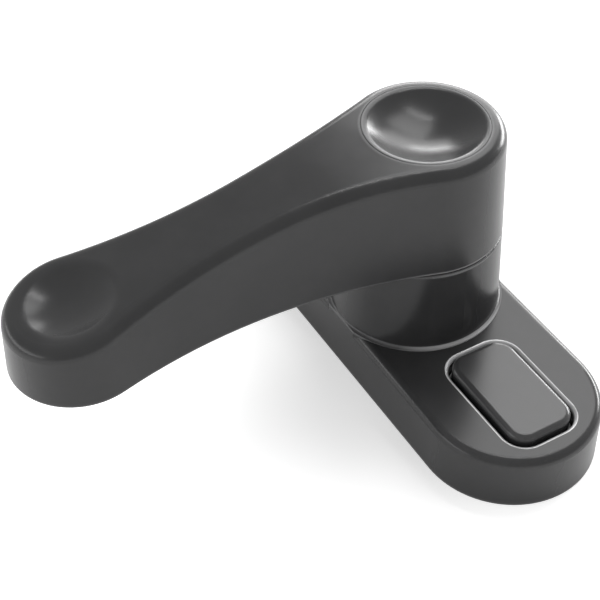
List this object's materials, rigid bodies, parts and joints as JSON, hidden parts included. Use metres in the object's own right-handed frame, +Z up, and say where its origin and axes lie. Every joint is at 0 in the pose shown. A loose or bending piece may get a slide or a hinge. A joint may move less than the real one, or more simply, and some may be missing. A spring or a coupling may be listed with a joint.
{
  "type": "child safety lock",
  "caption": "Child safety lock for a window or door: an arm on a round pillar swings over the sash, and a sprung button in the screw-down base plate frees it.",
  "frame": {"origin": "on the arm's swing axis, in the plane of the mounting face", "axes": "+Z up from the mounting face along the swing axis, +X along the base plate towards the button, the locked arm along -Y"},
  "size_m": [0.0718, 0.0722, 0.0378],
  "materials": {
    "charcoal_plastic": "satin moulded, dark charcoal grey",
    "steel": "zinc plated",
    "spring_steel": "hardened spring strip and wire",
    "bearing_plastic": "natural acetal",
    "soft_rubber": "matt"
  },
  "bodies": {
    "base": {"base_housing": "charcoal_plastic", "back_plate": "steel", "back_plate_screws": "steel", "screw_cover": "charcoal_plastic", "collar": "charcoal_plastic", "collar_screws": "steel", "lower_bush": "bearing_plastic", "upper_bush": "bearing_plastic", "latch_leaf": "spring_steel", "leaf_screw": "steel", "button_springs": "spring_steel"},
    "swing_arm": {"arm": "charcoal_plastic", "sash_pad": "soft_rubber", "hub_cap": "charcoal_plastic", "spindle": "steel", "spindle_screw": "steel", "spindle_washer": "steel", "latch_disc": "steel", "thrust_washer": "bearing_plastic", "retaining_ring": "spring_steel"},
    "push_button": {"button": "charcoal_plastic"}
  },
  "joints": [
    {"name": "arm_swing", "type": "hinge", "parent": "base", "child": "swing_arm", "pos_m": [0, 0, 0.02145], "axis": [0, 0, 1], "range_deg": [-180, 0]},
    {"name": "button_press", "type": "slide", "parent": "base", "child": "push_button", "axis": [0, 0, -1], "range_m": [0, 0.002], "stiffness_N_per_m": 1500, "springref_m": -0.002, "deforming": ["button_springs", "latch_leaf"]}
  ]
}
